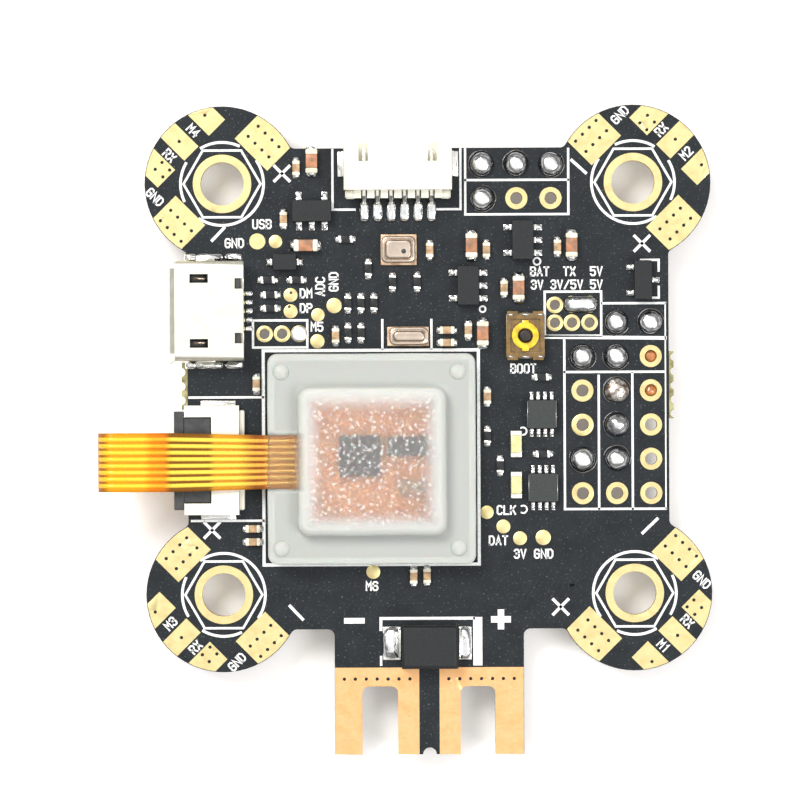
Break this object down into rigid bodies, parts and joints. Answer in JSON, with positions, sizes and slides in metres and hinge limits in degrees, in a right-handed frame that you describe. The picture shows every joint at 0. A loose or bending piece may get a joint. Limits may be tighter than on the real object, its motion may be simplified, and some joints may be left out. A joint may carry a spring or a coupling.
{
  "type": "flight controller board",
  "caption": "Square multirotor flight controller board with corner lobes, a forked battery tab, a soft-mounted motion sensor on a flex ribbon, USB and serial sockets.",
  "frame": {"origin": "centre of the four mounting holes, on the underside face of the bare board", "axes": "+Z out of the component side, +Y towards the serial socket and away from the battery tab, +X to the right with the USB socket on the left"},
  "size_m": [0.0455, 0.0481, 0.0072],
  "materials": {
    "solder_mask_board": "satin near-black solder mask over glass-epoxy laminate",
    "gold_plating": "soft immersion gold over copper",
    "solder": "bright solder, uneven",
    "plated_steel": "satin plated sheet",
    "contact_metal": "tinned",
    "cream_moulding": "natural cream moulding",
    "black_moulding": "matt black moulding",
    "polyimide": "amber film over copper tracks",
    "foam": "soft closed-cell foam",
    "silicone": "milky translucent silicone",
    "chip_package": "fine matt epoxy",
    "capacitor_ceramic": "tan fired ceramic",
    "white_ceramic": "white fired ceramic",
    "led_resin": "pale yellow resin",
    "ferrite": "pressed iron powder",
    "shunt_metal": "coated metal strip"
  },
  "bodies": {
    "board": {"barometer_lid": "plated_steel", "barometer_substrate": "chip_package", "battery_pads": "gold_plating", "boot_button_base": "black_moulding", "boot_button_dome": "plated_steel", "boot_button_film": "polyimide", "boot_button_frame": "plated_steel", "boot_button_ring": "gold_plating", "circuit_board": "solder_mask_board", "crystal_base": "white_ceramic", "crystal_lid": "plated_steel", "current_shunt": "shunt_metal", "flash_memory_chip": "chip_package", "flex_connector_anchor_tabs": "contact_metal", "flex_connector_contacts": "contact_metal", "flex_connector_housing": "cream_moulding", "flex_ribbon": "polyimide", "foam_pad": "foam", "header_hole_plating": "gold_plating", "header_solder_joints": "solder", "jumper_hole_plating": "gold_plating", "jumper_solder_joints": "solder", "large_capacitor_bodies": "capacitor_ceramic", "large_capacitor_terminals": "contact_metal", "led_bases": "white_ceramic", "led_lenses": "led_resin", "level_shifter_bodies": "chip_package", "level_shifter_leads": "contact_metal", "microcontroller_body": "chip_package", "microcontroller_leads": "contact_metal", "motor_solder_pads": "gold_plating", "mounting_hole_plating": "gold_plating", "power_inductor": "ferrite", "regulator_bodies": "chip_package", "regulator_leads": "contact_metal", "resistor_bodies": "chip_package", "resistor_terminals": "contact_metal", "signal_diode_body": "chip_package", "signal_diode_leads": "contact_metal", "small_capacitor_bodies": "capacitor_ceramic", "small_capacitor_terminals": "contact_metal", "surge_diode_body": "chip_package", "surge_diode_terminals": "contact_metal", "test_pads": "gold_plating", "transistor_body": "chip_package", "transistor_leads": "contact_metal", "uart_connector_anchor_tabs": "contact_metal", "uart_connector_contacts": "contact_metal", "uart_connector_housing": "cream_moulding", "usb_contacts": "contact_metal", "usb_shell": "plated_steel", "usb_tongue": "black_moulding"},
    "imu_pod": {"imu_board": "polyimide", "gyro_chip": "chip_package", "imu_regulator": "chip_package", "imu_capacitor": "capacitor_ceramic", "silicone_cover": "silicone"},
    "boot_button_plunger": {"boot_button_plunger": "black_moulding"},
    "flex_connector_slider": {"flex_connector_slider": "black_moulding"}
  },
  "joints": [
    {"name": "boot_button_press", "type": "slide", "parent": "board", "child": "boot_button_plunger", "axis": [0, 0, -1], "range_m": [0, 0.0002], "stiffness_N_per_m": 6000, "springref_m": -0.0001},
    {"name": "flex_lock_slide", "type": "slide", "parent": "board", "child": "flex_connector_slider", "axis": [-1, 0, 0], "range_m": [0, 0.0009]},
    {"name": "imu_pod_float", "type": "slide", "parent": "board", "child": "imu_pod", "axis": [0, 0, 1], "range_m": [-0.0002, 0.0002], "stiffness_N_per_m": 300, "deforming": ["foam_pad", "flex_ribbon"]}
  ]
}
